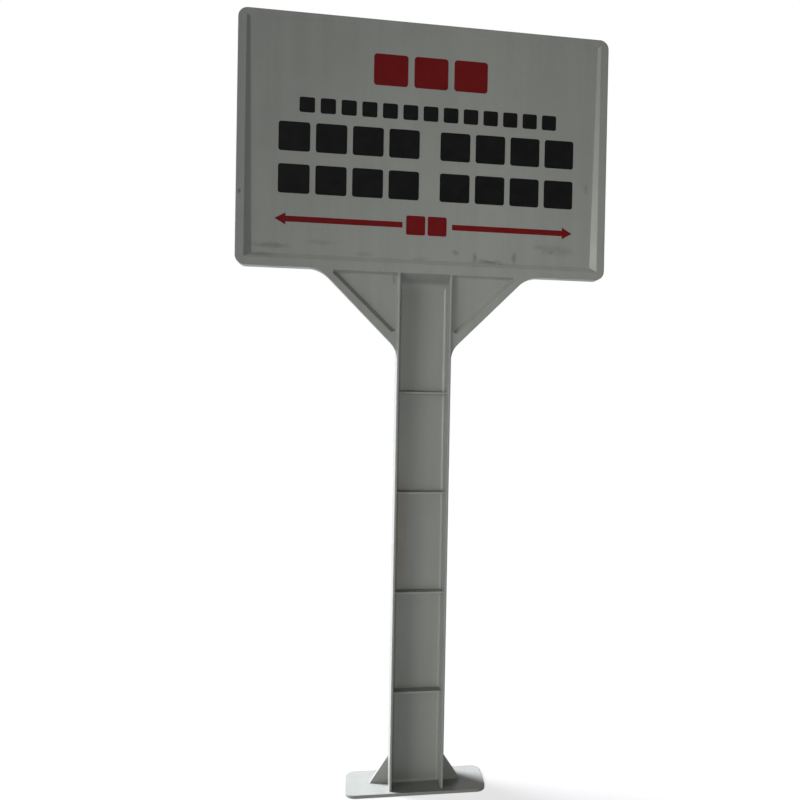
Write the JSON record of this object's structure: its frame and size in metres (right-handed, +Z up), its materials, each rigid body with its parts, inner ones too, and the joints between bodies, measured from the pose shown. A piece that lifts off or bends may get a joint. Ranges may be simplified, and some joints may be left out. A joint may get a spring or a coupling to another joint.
{
  "type": "warning sign post",
  "caption": "One-piece moulded warning sign: a bordered panel on a ribbed I-section post with triangular brackets and a flat gusseted foot.",
  "frame": {"origin": "middle of the foot's underside", "axes": "+Z up the post, -Y towards the reader of the panel, X along the panel"},
  "size_m": [0.6, 0.076, 1.25],
  "materials": {
    "moulding": "fine mottled grey glass-filled moulding with a low sheen, slightly soiled",
    "red_print": "flat dark red screen print",
    "black_print": "flat black screen print"
  },
  "bodies": {
    "root": {"sign_post": "moulding"}
  },
  "joints": []
}
